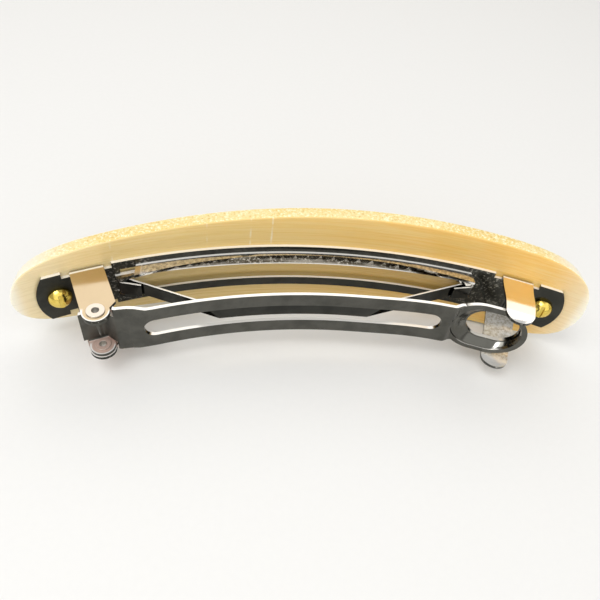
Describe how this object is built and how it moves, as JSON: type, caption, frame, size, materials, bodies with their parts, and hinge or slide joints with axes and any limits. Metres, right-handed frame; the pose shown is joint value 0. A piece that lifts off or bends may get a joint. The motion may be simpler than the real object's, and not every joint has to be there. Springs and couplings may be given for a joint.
{
  "type": "barrette",
  "caption": "Curved acetate hair barrette on a stamped spring clip with a hinged arm, a tension strip and a snap clasp.",
  "frame": {"origin": "middle of the part's bounding box in X and Y, at the lowest point of the plate's lower long edge", "axes": "+X along the barrette from the hinge to the clasp, +Y towards the decorative outer side of the plate, so the clip faces -Y, +Z across the clip"},
  "size_m": [0.1034, 0.023, 0.022],
  "materials": {
    "acetate": "polished cream and amber acetate with fine streaks, frosted on its cut edges",
    "nickel_steel": "nickel-plated steel, mirror bright",
    "spring_steel": "nickel-plated spring steel, bright",
    "rivet_steel": "nickel-plated steel, bright",
    "brass": "polished yellow brass"
  },
  "bodies": {
    "clip_back": {"face_plate": "acetate", "base_plate": "nickel_steel", "tension_bar": "spring_steel", "hinge_rivet_upper": "rivet_steel", "hinge_rivet_lower": "rivet_steel", "screw_hinge_end": "brass", "screw_clasp_end": "brass"},
    "arm": {"clasp_arm": "nickel_steel"}
  },
  "joints": [
    {"name": "arm_hinge", "type": "hinge", "parent": "clip_back", "child": "arm", "pos_m": [-0.03662, -0.00911, 0.01], "axis": [0, 0, -1], "range_deg": [0, 85]}
  ]
}
